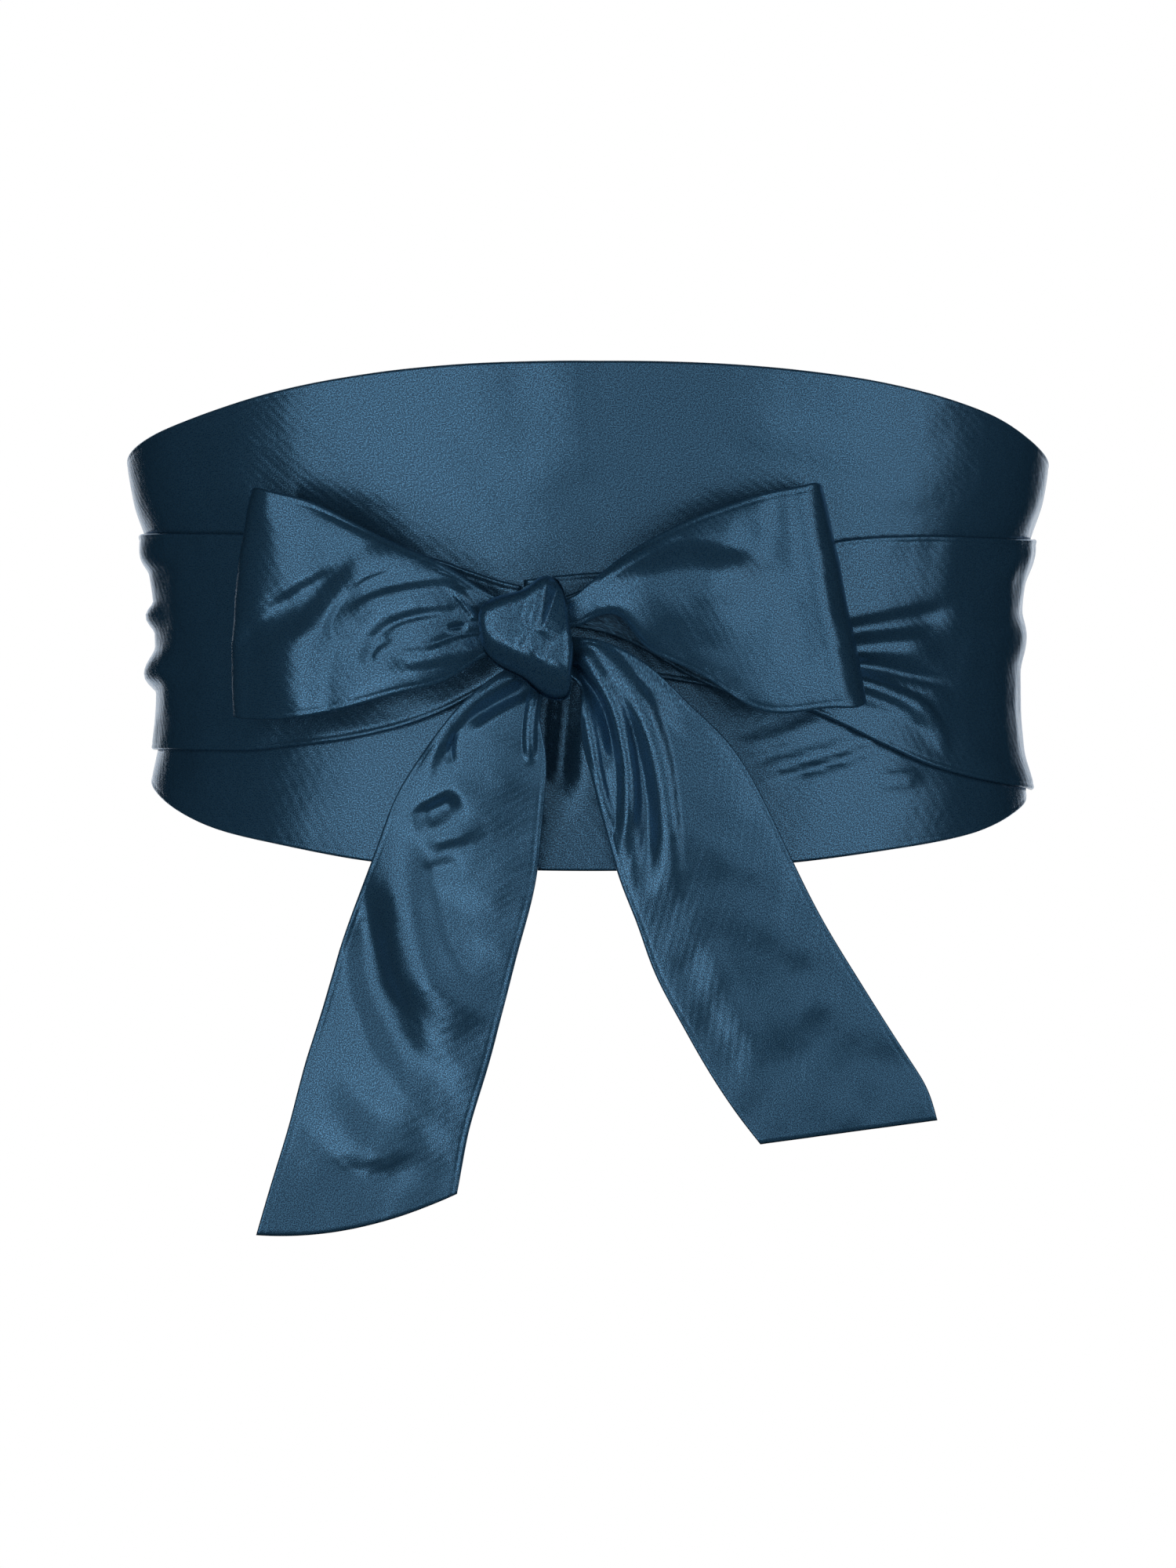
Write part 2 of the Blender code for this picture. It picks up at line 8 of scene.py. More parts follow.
import bpy
import numpy as np
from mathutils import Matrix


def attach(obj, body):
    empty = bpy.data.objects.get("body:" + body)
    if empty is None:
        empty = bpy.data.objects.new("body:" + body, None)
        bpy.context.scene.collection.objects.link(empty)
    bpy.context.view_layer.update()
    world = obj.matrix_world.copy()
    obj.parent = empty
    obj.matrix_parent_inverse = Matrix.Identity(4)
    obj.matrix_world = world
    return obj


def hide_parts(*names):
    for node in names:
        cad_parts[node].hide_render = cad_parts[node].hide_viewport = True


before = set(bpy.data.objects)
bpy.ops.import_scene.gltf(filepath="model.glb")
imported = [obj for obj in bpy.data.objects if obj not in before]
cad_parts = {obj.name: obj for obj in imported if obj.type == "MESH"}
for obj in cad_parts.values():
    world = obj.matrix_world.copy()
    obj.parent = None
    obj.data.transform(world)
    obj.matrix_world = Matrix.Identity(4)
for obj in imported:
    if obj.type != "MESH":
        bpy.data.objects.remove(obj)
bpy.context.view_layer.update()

MM = 0.001

# Cloth thicknesses, and how far in from an edge its turned fold is round and pressed
PANEL_WALL = 1.9
TIE_WALL = 1.3
EDGE_ROUND = 0.8
SEAM_INSET = 1.7
SEAM_WIDTH = 0.45
SEAM_DEPTH = 0.08

# The waist that the sash goes round, seen from above
WAIST_POWER = 2.2
WAIST_HALF_WIDTH = 123.5
WAIST_HALF_DEPTH = 90.0
PANEL_REACH = 300.0
WAIST_TURNS = 1440

# Mesh steps, and how much closer the rows are at an edge
PANEL_STEP = 1.7
WRAP_STEP = 1.3
BAND_STEP = 0.8
PANEL_ACROSS = 104
WRAP_ACROSS = 84
LOOP_ACROSS = 92
TAIL_ACROSS = 84
EDGE_CROWDING = 0.8
KNOT_SIDES = 168
KNOT_RINGS = 76
ROUTE_RUNS = 24
ROUTE_FADE = 0.35


def table(columns, rows):
    """Named columns of numbers, with a row for each section."""
    return dict(zip(columns.split(), np.array(rows, float).T))


# Half sizes of the panel's outer face at each height, pressed in where the ties pull
FLARE = table("height half_width half_depth", [
    (-75, 127.5, 91.0),
    (-48, 126.3, 90.5),
    (-36, 123.6, 90.0),
    (-20, 122.4, 89.5),
    (0, 122.8, 89.5),
    (18, 125.2, 89.8),
    (26, 128.0, 90.2),
    (35, 131.0, 90.8),
    (49, 133.2, 91.6),
    (75, 134.5, 92.6),
])

# Top and bottom edges of the panel
PANEL_CUT = table("along low top", [
    (-PANEL_REACH, -31.0, 31.0),
    (-230, -37.0, 38.5),
    (-171, -44.5, 45.5),
    (-137, -52.0, 51.3),
    (-112, -58.6, 56.2),
    (-86, -63.4, 62.0),
    (-60, -67.6, 66.4),
    (-30, -69.6, 69.2),
    (0, -70.2, 69.8),
    (30, -69.6, 69.4),
    (58, -67.8, 67.4),
    (80, -65.2, 64.6),
    (100, -62.7, 60.8),
    (117, -60.0, 56.8),
    (137, -55.6, 51.0),
    (171, -49.0, 45.0),
    (230, -40.0, 38.0),
    (PANEL_REACH, -31.0, 31.0),
])

# Each tie from the knot, round the side and past the centre back to its panel end
RIGHT_WRAP = table("along low top gap", [
    (-17.2, -14.0, 9.5, 4.8),
    (-8, -14.5, 10.8, 4.4),
    (5, -15.5, 11.8, 3.6),
    (20, -17.5, 12.2, 2.4),
    (40, -21.0, 15.5, 1.4),
    (61, -25.8, 19.5, 0.9),
    (73, -30.5, 21.5, 0.9),
    (84, -35.4, 22.4, 0.9),
    (102, -41.9, 22.9, 0.85),
    (120, -45.2, 22.9, 0.85),
    (139, -47.0, 23.2, 0.85),
    (171, -48.0, 24.3, 0.85),
    (200, -45.5, 25.0, 0.85),
    (240, -41.0, 25.5, 0.85),
    (290, -36.0, 26.5, 0.7),
    (310, -29.5, 27.0, 0.7),
    (324, -18.0, 27.5, 0.7),
    (331, -10.5, 28.0, 0.7),
    (336.4, -4.7, 28.3, 0.6),
    (343.4, 0.4, 28.5, -0.6),
    (350.4, 5.5, 29.0, -1.8),
    (358, -6.0, 29.5, -1.8),
    (367, -20.0, 30.5, -1.8),
    (376, -28.5, 31.0, -1.8),
    (386.4, -31.0, 31.0, -1.8),
])
LEFT_WRAP = table("along low top gap", [
    (17.8, -14.5, 8.0, 4.8),
    (23, -17.5, 9.3, 4.2),
    (31, -22.0, 12.0, 3.0),
    (41, -26.9, 15.6, 1.8),
    (54, -31.2, 18.5, 1.2),
    (70, -34.4, 21.5, 0.9),
    (85, -36.0, 22.6, 0.9),
    (101, -37.0, 23.4, 0.85),
    (120, -36.8, 24.1, 0.85),
    (141, -36.4, 24.9, 0.85),
    (171, -36.4, 25.5, 0.85),
    (200, -36.2, 26.0, 0.85),
    (240, -34.5, 26.8, 0.85),
    (290, -32.0, 30.5, 0.7),
    (310, -30.0, 27.5, 0.7),
    (324, -28.5, 18.0, 0.7),
    (331, -28.0, 10.5, 0.7),
    (336.4, -28.3, 4.7, 0.6),
    (343.4, -28.5, -0.4, -0.6),
    (350.4, -29.0, -5.5, -1.8),
    (358, -29.5, 6.0, -1.8),
    (367, -30.5, 20.0, -1.8),
    (376, -31.0, 28.5, -1.8),
    (386.4, -31.0, 31.0, -1.8),
])

# Each bow loop is a bent band: out from the knot in front, round, and back behind
LOOP_COLUMNS = "top_x top_y top_z low_x low_y low_z crown belly"
LEFT_LOOP = table(LOOP_COLUMNS, [
    (-21.0, -108.0, 3.0, -21.0, -107.5, -9.0, 0.3, 0),
    (-29.5, -109.0, 7.0, -29.5, -107.5, -12.5, 2.0, 0),
    (-37.0, -109.5, 12.0, -37.5, -107.0, -17.5, 4.0, 0),
    (-49.0, -107.5, 17.5, -49.0, -105.5, -21.0, 5.0, 0),
    (-62.0, -104.0, 24.0, -62.0, -102.5, -24.5, 4.5, 0),
    (-75.0, -100.5, 30.5, -72.5, -98.5, -27.0, 3.5, 0),
    (-83.5, -98.7, 33.0, -84.0, -92.5, -28.5, 2.5, 0.5),
    (-89.2, -95.8, 34.5, -93.0, -86.0, -28.5, 1.5, 1.2),
    (-91.3, -91.0, 35.0, -97.0, -80.0, -28.0, 0.5, 2.2),
    (-90.8, -85.5, 35.0, -96.0, -75.5, -27.5, 0.0, 2.2),
    (-87.0, -81.5, 34.5, -90.0, -75.0, -27.0, 0.0, 0.5),
    (-69.0, -84.0, 28.0, -70.0, -83.5, -25.5, 0.0, 0),
    (-54.0, -89.8, 20.5, -54.0, -89.3, -22.0, 0.0, 0),
    (-37.5, -95.3, 12.5, -37.5, -94.8, -16.5, 0.0, 0),
    (-29.5, -98.5, 7.0, -29.5, -98.0, -12.0, 0.0, 0),
    (-21.0, -100.0, 3.0, -21.0, -100.0, -9.0, 0.0, 0),
])
RIGHT_LOOP = table(LOOP_COLUMNS, [
    (-10.0, -108.0, 3.5, -10.0, -107.5, -3.5, 0.2, 0),
    (-4.0, -109.0, 5.0, -2.5, -107.5, -3.2, 1.0, 0),
    (-0.5, -109.7, 7.6, 2.0, -107.8, -0.6, 1.5, 0),
    (3.0, -110.5, 10.5, 6.0, -108.3, 0.6, 2.5, 0),
    (8.0, -110.6, 14.4, 10.6, -108.4, -1.6, 3.8, 0),
    (13.0, -110.4, 17.8, 15.0, -108.2, -8.0, 4.6, 0),
    (18.0, -109.6, 20.7, 22.0, -107.8, -12.6, 5.1, 0),
    (27.5, -107.5, 25.5, 33.0, -106.0, -18.0, 5.5, 0),
    (39.0, -105.0, 30.0, 46.0, -103.5, -26.0, 4.5, 0),
    (50.0, -102.0, 33.5, 59.0, -100.0, -26.5, 3.0, 0),
    (57.5, -99.5, 35.0, 67.5, -97.0, -25.5, 1.5, 0),
    (61.5, -97.5, 36.0, 72.5, -94.5, -25.5, 0.0, 0),
    (63.5, -92.0, 36.0, 76.0, -88.0, -24.5, 0.0, 0),
    (63.5, -88.3, 35.5, 76.0, -83.5, -24.0, 0.0, 0),
    (58.0, -88.2, 33.5, 70.0, -84.0, -24.0, 0.0, 0),
    (41.0, -92.5, 28.0, 46.0, -92.0, -23.5, 0.0, 0),
    (23.5, -96.2, 20.0, 27.0, -95.7, -16.5, 0.0, 0),
    (6.5, -99.6, 10.5, 8.5, -99.2, -6.5, 0.0, 0),
    (-10.0, -100.0, 3.5, -10.0, -100.0, -3.0, 0.0, 0),
])
LEFT_LOOP_TURN = 8
RIGHT_LOOP_TURN = 11

# Each tail from the knot down to its slanted end
TAIL_COLUMNS = "left_x left_y left_z right_x right_y right_z crown bow"
LEFT_TAIL = table(TAIL_COLUMNS, [
    (-20.5, -104.0, -14.5, -10.5, -104.5, -18.0, 0.5, 0.0),
    (-34.5, -105.5, -25.0, -13.0, -107.0, -27.5, 1.5, 0.0),
    (-45.0, -104.0, -38.0, -11.5, -106.0, -37.5, 2.0, 0.0),
    (-52.0, -102.0, -49.0, -11.5, -105.0, -47.5, 2.0, 0.0),
    (-57.0, -98.5, -61.5, -12.5, -103.0, -58.0, 2.0, 0.0),
    (-61.0, -95.5, -72.0, -14.0, -101.0, -71.5, 2.0, 0.0),
    (-67.5, -90.0, -89.5, -18.5, -98.5, -90.0, 2.5, 0.0),
    (-72.5, -87.0, -106.5, -23.0, -96.0, -107.5, 3.0, 0.0),
    (-78.0, -87.0, -124.0, -28.0, -93.0, -126.0, 2.0, 0.5),
    (-82.5, -88.0, -141.0, -32.5, -90.0, -141.0, 0.0, 1.5),
    (-87.0, -90.0, -156.0, -34.5, -88.0, -151.0, -1.0, 2.8),
    (-91.0, -92.0, -170.0, -36.0, -87.0, -159.0, -1.0, 3.8),
])
RIGHT_TAIL = table(TAIL_COLUMNS, [
    (-10.0, -105.5, -15.5, -9.5, -106.0, -6.0, 0.3, 0.0),
    (-2.0, -106.5, -20.0, 5.5, -109.0, -8.0, 1.5, 0.0),
    (-1.5, -107.0, -28.5, 17.5, -109.5, -15.0, 2.5, 0.0),
    (-1.0, -107.0, -36.5, 27.5, -108.0, -24.5, 3.0, 0.0),
    (1.0, -106.5, -44.0, 35.0, -106.5, -31.5, 3.0, 0.0),
    (3.0, -106.0, -52.5, 42.5, -105.0, -41.0, 3.0, 0.0),
    (5.5, -105.0, -61.5, 50.0, -102.5, -55.0, 3.0, 0.0),
    (8.5, -103.5, -72.0, 56.0, -100.5, -67.5, 2.5, 0.0),
    (13.5, -101.0, -85.0, 64.5, -98.0, -84.0, 2.0, 0.0),
    (18.0, -99.0, -97.5, 73.0, -96.0, -98.0, 1.5, 0.0),
    (25.0, -97.0, -111.0, 81.5, -94.5, -111.5, 1.0, 0.0),
    (33.0, -95.5, -125.0, 89.0, -93.0, -123.0, 0.5, 0.0),
    (41.0, -94.7, -137.0, 93.5, -92.5, -131.0, 0.2, 0.0),
    (47.2, -94.0, -145.0, 95.8, -92.0, -138.5, 0.0, 0.0),
])

# The knot: its outline from the front, and how that grows and rounds off forwards
KNOT_OUTLINE = table("x z", [
    (-29.5, -4.0),
    (-29.0, 1.5),
    (-24.5, 4.5),
    (-16.5, 7.0),
    (-12.0, 10.0),
    (-9.0, 9.5),
    (-5.5, 0.5),
    (-4.0, -11.0),
    (-4.5, -17.0),
    (-5.5, -23.0),
    (-12.5, -22.5),
    (-17.0, -18.5),
    (-23.5, -15.0),
    (-28.0, -10.5),
])

# Creases. Each has its height, its width to the left and right of its route, how much of
# the height it starts and ends with, and its route's points. A trough's height is below 0.
# On the waist a point is (along, height), and on the bow and tails it is (x, z).
PANEL_CREASES = [
    (0.9, 5, 16, 1, 0, [(-3, 71), (-2.5, 57), (0, 34)]),
    (1.2, 3.5, 2.5, 0.2, 0.6, [(40, -45), (59, -40), (81, -35)]),
    (-0.9, 2, 3, 0, 0.8, [(48, -45), (63, -41.5), (83, -35)]),
    (0.9, 3, 3, 0, 0.6, [(36, -38), (50, -35), (66, -29)]),
    (0.8, 3, 4, 0, 0, [(78, -44), (88, -45), (98, -43)]),
    (-0.6, 6, 6, 0, 0, [(-40, -30), (-20, -48), (-18, -66)]),
    (0.5, 8, 8, 0, 0, [(20, 60), (50, 50), (90, 42)]),
    (-2.4, 7, 6, 0.9, 0.2, [(-6, -18), (-7, -32), (-8, -52)]),
    (0.8, 7, 7, 0, 0, [(150, -38), (190, -34), (240, -30)]),
    (0.8, 7, 7, 0, 0, [(-150, -40), (-190, -36), (-240, -31)]),
]
RIGHT_WRAP_CREASES = [
    (0.9, 3, 3, 0, 0, [(18, 6), (40, 8), (66, 10)]),
    (-1.8, 5, 6, 1, 0, [(70, -5), (84, -2.4), (112, 2)]),
    (1.2, 5, 5, 0.6, 0, [(66, -9.5), (84, -8), (106, -9)]),
    (-1.6, 4, 3, 1, 0, [(70, -12.5), (88, -15), (115, -20)]),
    (2.1, 2.6, 6.5, 0.9, 0.3, [(72, -17), (89, -21.5), (99, -26), (105, -33)]),
    (-0.6, 1.2, 2.5, 0.9, 0, [(76, -20), (88, -24), (96, -28)]),
    (1.6, 8, 10, 0, 0, [(120, -6), (165, -4), (215, -3)]),
    (1.2, 5, 8, 0, 0, [(122, 16), (165, 19), (205, 20)]),
    (1.4, 5, 5, 0.3, 0, [(343, 7), (322, 2), (270, -12)]),
    (1.4, 4, 5, 0.3, 0, [(344, 14), (320, 12), (275, 4)]),
    (1.1, 4, 4, 0.3, 0, [(343, 21), (320, 20), (285, 18)]),
    (-0.9, 3, 3, 0.3, 0, [(343, 17.5), (322, 16), (280, 11)]),
]
LEFT_WRAP_CREASES = [
    (1.0, 4, 4, 0, 0, [(24, 2), (60, 9), (104, 13)]),
    (1.3, 4, 4, 0, 0, [(24, -4), (60, -6), (110, -6)]),
    (1.3, 4, 4, 0, 0, [(24, -9), (60, -17), (108, -22)]),
    (1.6, 6, 5, 0, 0, [(126, 19), (166, 19), (212, 20)]),
    (2.6, 4, 5, 0, 0, [(142, 3), (172, 2), (215, 6)]),
    (3.4, 8, 5, 0.1, 0, [(128, -15), (148, -14), (172, -15.4), (225, -12)]),
    (1.3, 5, 5, 0.3, 0, [(343, -7), (322, -2), (270, 10)]),
    (1.4, 4, 5, 0.3, 0, [(343, -14), (320, -12), (275, -8)]),
    (1.1, 4, 4, 0.3, 0, [(343, -21), (320, -20), (285, -20)]),
]
LEFT_LOOP_CREASES = [
    (-2.2, 12, 4.5, 0, 0.6, [(-61, 13), (-73, 8), (-82, 2.5), (-90, -4)]),
    (3.0, 10, 14, 0.1, 0.8, [(-80, 4), (-78, -8), (-79, -20), (-80, -31)]),
    (1.1, 1.5, 8, 0.2, 0.3, [(-48, 14), (-58.3, 11.2), (-68, 3.4), (-70.9, -4.9), (-65, -10.1)]),
    (1.3, 7.0, 3.4, 0.6, 0.1, [(-38, 6.5), (-50, 5), (-60, 1.5), (-65.5, -2.5)]),
    (-0.8, 1.6, 2.6, 0.5, 0.2, [(-36.7, 0.5), (-51.7, -2.7), (-62.5, -7.6), (-66.5, -7.2)]),
    (-1.0, 2.4, 3.6, 0.1, 0, [(-51, -6.5), (-56.6, -8.3), (-58.7, -11.6), (-57, -15)]),
    (0.9, 4.0, 3.2, 0.6, 0, [(-34, -9.5), (-45, -11.3), (-55, -12.5)]),
    (-0.7, 0.9, 2.6, 1, 0, [(-29, -5.4), (-36, -6.2), (-45, -10.8)]),
    (1.3, 1.3, 2.2, 0.7, 0.4, [(-31, -0.7), (-33.5, 3), (-36.8, 7)]),
    (-1.2, 1.5, 1.5, 1, 1, [(-37, -3.8), (-34.3, -3.4)]),
    (0.6, 1.8, 10, 0.1, 0.6, [(-77, 27.8), (-68.2, 24), (-60.6, 20.4), (-50.3, 16), (-42.6, 12.4)]),
]
RIGHT_LOOP_CREASES = [
    (0.5, 2.0, 1.6, 0.9, 0.2, [(-6, 4), (3, 9.5), (14, 16), (24, 21)]),
    (3.4, 10.5, 20, 0.4, 0, [(-6, 1), (6, 5), (18, 8.5), (33, 9.5), (50, 3)]),
    (-0.9, 6.0, 9.0, 0, 0, [(37, 24), (47, 18), (52, 8)]),
    (-0.6, 4.0, 5.0, 0.5, 0, [(51, 33), (51, 22), (53, 14)]),
    (-0.7, 7.0, 7.0, 0, 0, [(52, 12), (56, 0), (56, -20)]),
    (0.6, 4.0, 4.0, 0.6, 0.6, [(59, 32), (63.5, 8), (69, -20)]),
]
LOOP_BACK_CREASES = [
    (1.0, 4, 4, 0.5, 0, [(26, 4), (48, 12), (70, 14)]),
    (1.2, 4, 5, 0.5, 0, [(26, -2), (50, -4), (76, -6)]),
    (0.9, 4, 4, 0.5, 0, [(28, -7), (48, -15), (66, -20)]),
]
LEFT_TAIL_CREASES = [
    (2.4, 4.0, 4.5, 1, 0.1, [(-21, -17), (-31, -23), (-40, -33), (-46, -46)]),
    (-2.4, 3.5, 4.0, 0.8, 0.1, [(-15, -20), (-24, -24), (-34, -31)]),
    (-1.2, 1.6, 2.4, 0.1, 0, [(-35, -30), (-37, -36), (-36, -42)]),
    (-2.6, 4.0, 5.0, 0, 0, [(-48, -56), (-41, -53), (-34, -49)]),
    (0.9, 4.0, 4.0, 0, 0, [(-46, -63), (-38, -60), (-28, -58)]),
    (-0.8, 4.0, 5.0, 0, 0, [(-46, -71), (-40, -69), (-33, -67)]),
    (1.6, 2.0, 2.2, 0.8, 0, [(-14, -21), (-15.5, -30), (-15.5, -42)]),
    (3.2, 9.0, 12.0, 0.1, 0.1, [(-52, -60), (-49, -80), (-42, -100), (-26, -112)]),
    (-2.6, 9.0, 8.0, 0.1, 0.1, [(-58, -66), (-60, -92), (-52, -116), (-38, -132)]),
    (1.2, 9.0, 9.0, 0, 0, [(-78, -122), (-66, -140), (-44, -148)]),
    (-0.8, 6.0, 6.0, 0, 0, [(-74, -150), (-60, -152), (-44, -150)]),
]
RIGHT_TAIL_CREASES = [
    (2.0, 2.4, 3.0, 0.9, 0, [(-5, -16), (-1, -26), (2, -42), (7, -62)]),
    (-3.0, 2.5, 3.5, 0.9, 0, [(-3, -15), (3, -23), (6, -32), (8, -44)]),
    (2.6, 3.0, 3.0, 0.7, 0, [(0, -12), (6, -22), (10, -36), (10.5, -54), (8, -70)]),
    (-2.8, 3.5, 4.5, 0.2, 0, [(8, -20), (13, -34), (16.5, -52), (15, -78)]),
    (2.2, 3.5, 9.0, 0.6, 0, [(2, -9), (12, -20), (19, -36), (22, -56), (24, -80)]),
    (-1.2, 4.0, 5.0, 0.2, 0, [(12, -14), (22, -23), (30, -34)]),
    (0.5, 6.0, 9.0, 0, 0, [(30, -84), (38, -104), (50, -126)]),
]
KNOT_CREASES = [
    (-0.35, 0.5, 1.6, 0.6, 0.2, [(-17.1, 0.9), (-19.1, -5), (-19.6, -10)]),
    (-0.35, 0.5, 1.4, 0.5, 0.2, [(-14.8, 1), (-16.6, -4.5), (-17.8, -10)]),
    (0.5, 1.4, 1.4, 0, 0.2, [(-14.6, 2.5), (-15.6, -5), (-13.5, -11.5), (-9.0, -11)]),
]

# Where the knot's front falls away: beyond each line, on the left as one follows it
KNOT_FALLS = table("x z to_x to_z slope round", [
    (-30.0, 0.5, -16.9, 6.5, 1.2, 0.8),
    (-4.8, -16.0, -29.1, -5.8, 0.95, 1.1),
])
# The pocket in its middle: a steep wall on the left, and a floor that looks up
KNOT_POCKET = table("x z to_x to_z slope round", [
    (-11.0, 10.0, -14.2, -11.0, 1.5, 0.4),
    (-14.5, -11.5, -5.0, -5.0, 0.42, 0.7),
])


def ease(knots, values, at):
    """Smooth curve through a table's values that never swings past them."""
    gaps = np.diff(knots)
    rises = np.diff(values) / gaps
    before, after = rises[:-1], rises[1:]
    turns = before * after <= 0
    weight_before = 2 * gaps[1:] + gaps[:-1]
    weight_after = gaps[1:] + 2 * gaps[:-1]
    safe_before = np.where(turns, 1.0, before)
    safe_after = np.where(turns, 1.0, after)
    blended = (weight_before + weight_after) / (weight_before / safe_before + weight_after / safe_after)
    slopes = np.concatenate([[rises[0]], np.where(turns, 0.0, blended), [rises[-1]]])
    at = np.clip(at, knots[0], knots[-1])
    piece = np.clip(np.searchsorted(knots, at, side="right") - 1, 0, len(gaps) - 1)
    length = gaps[piece]
    t = (at - knots[piece]) / length
    start = (1 + 2 * t) * (1 - t) ** 2 * values[piece] + t * (1 - t) ** 2 * length * slopes[piece]
    end = t ** 2 * (3 - 2 * t) * values[piece + 1] + t ** 2 * (t - 1) * length * slopes[piece + 1]
    return start + end


def bend(knots, values, at):
    """Natural cubic spline through a table's values, as a bent strip would lie."""
    flat = values.reshape(len(knots), -1)
    gaps = np.diff(knots)
    slopes = np.diff(flat, axis=0) / gaps[:, None]
    system = np.eye(len(knots))
    pull = np.zeros_like(flat)
    for i in range(1, len(knots) - 1):
        system[i, i - 1:i + 2] = gaps[i - 1], 2 * (gaps[i - 1] + gaps[i]), gaps[i]
        pull[i] = 6 * (slopes[i] - slopes[i - 1])
    curve = np.linalg.solve(system, pull)
    piece = np.clip(np.searchsorted(knots, at, side="right") - 1, 0, len(gaps) - 1)
    length = gaps[piece][:, None]
    to_end = (knots[piece + 1] - at)[:, None] / length
    to_start = 1 - to_end
    line = to_end * flat[piece] + to_start * flat[piece + 1]
    bulge = (to_end ** 3 - to_end) * curve[piece] + (to_start ** 3 - to_start) * curve[piece + 1]
    return (line + bulge * length ** 2 / 6).reshape((len(at),) + values.shape[1:])


def chord_lengths(points):
    """Distance along a chain of points to each of them."""
    return np.concatenate([[0], np.cumsum(np.linalg.norm(np.diff(points, axis=0), axis=1))])


def even(knots, step):
    """Even stations along a piece, about a step apart."""
    return np.linspace(knots[0], knots[-1], int(round((knots[-1] - knots[0]) / step)) + 1)


def across(count):
    """Places from 0 to 1 across a piece, crowded towards its edges."""
    even_places = np.linspace(0, 1, count + 1)
    return even_places - EDGE_CROWDING * np.sin(2 * np.pi * even_places) / (2 * np.pi)


def smooth(t):
    t = np.clip(t, 0, 1)
    return t * t * (3 - 2 * t)


def crease_relief(creases, x, z):
    """How far the creases raise each point. The left of a route is its left as one follows it."""
    raised = np.zeros_like(x)
    for height, left, right, start, end, route in creases:
        route = np.array(route, float)
        knots = chord_lengths(route)
        line = bend(knots, route, np.linspace(0, knots[-1], ROUTE_RUNS + 1))
        reach = max(left, right)
        near = (x > line[:, 0].min() - reach) & (x < line[:, 0].max() + reach)
        near &= (z > line[:, 1].min() - reach) & (z < line[:, 1].max() + reach)
        px, pz = x[near], z[near]
        nearest = np.full_like(px, np.inf)
        signed = np.zeros_like(px)
        place = np.zeros_like(px)
        for j in range(ROUTE_RUNS):
            run = line[j + 1] - line[j]
            off_x, off_z = px - line[j, 0], pz - line[j, 1]
            on_run = np.clip((off_x * run[0] + off_z * run[1]) / (run @ run), 0, 1)
            away = np.hypot(off_x - on_run * run[0], off_z - on_run * run[1])
            closer = away < nearest
            nearest = np.where(closer, away, nearest)
            signed = np.where(closer, run[0] * off_z - run[1] * off_x, signed)
            place = np.where(closer, (j + on_run) / ROUTE_RUNS, place)
        width = np.where(signed > 0, left, right)
        side = np.clip(1 - (nearest / width) ** 2, 0, 1) ** 2
        rise = start + (1 - start) * smooth(place / ROUTE_FADE)
        fall = end + (1 - end) * smooth((1 - place) / ROUTE_FADE)
        raised[near] += height * side * rise * fall
    return raised


def slack(x, z, seed, wave, height):
    """Small uneven waves of cloth that isn't pulled quite flat."""
    random = np.random.default_rng(seed)
    waves = 28
    angles = random.uniform(0, np.pi, waves)
    turns = 2 * np.pi / (wave * random.uniform(0.6, 1.8, waves))
    phases = random.uniform(0, 2 * np.pi, waves)
    total = np.zeros_like(x)
    for angle, turn, phase in zip(angles, turns, phases):
        total += np.sin(turn * (x * np.cos(angle) + z * np.sin(angle)) + phase)
    return height * total / np.sqrt(waves / 2)


def waist_section(turn, half_width, half_depth):
    """A rounded-off ellipse. Turn 0 is the centre front, and grows to the viewer's right."""
    power = 2 / WAIST_POWER
    sideways = np.sign(np.sin(turn)) * np.abs(np.sin(turn)) ** power
    forwards = np.sign(np.cos(turn)) * np.abs(np.cos(turn)) ** power
    return half_width * sideways, -half_depth * forwards


TURNS = np.linspace(0, math.pi, WAIST_TURNS + 1)
DISTANCES = chord_lengths(np.stack(waist_section(TURNS, WAIST_HALF_WIDTH, WAIST_HALF_DEPTH), axis=1))
HALF_WAIST = DISTANCES[-1]


def waist_point(along, height, gap):
    """A point on the worn waist, a gap outside the panel's outer face."""
    along = np.where(along > HALF_WAIST, along - 2 * HALF_WAIST, along)
    turn = np.sign(along) * np.interp(np.abs(along), DISTANCES, TURNS)
    half_width = ease(FLARE["height"], FLARE["half_width"], height)
    half_depth = ease(FLARE["height"], FLARE["half_depth"], height)
    x, y = waist_section(turn, half_width, half_depth)
    out_x = np.sign(x) * np.abs(x / half_width) ** (WAIST_POWER - 1) / half_width
    out_y = np.sign(y) * np.abs(y / half_depth) ** (WAIST_POWER - 1) / half_depth
    size = np.hypot(out_x, out_y)
    return np.stack([x + gap * out_x / size, y + gap * out_y / size, height], axis=-1)


def facing(grid):
    """Unit normals of a grid of points."""
    cross = np.cross(np.gradient(grid, axis=0), np.gradient(grid, axis=1))
    return cross / np.linalg.norm(cross, axis=-1, keepdims=True)


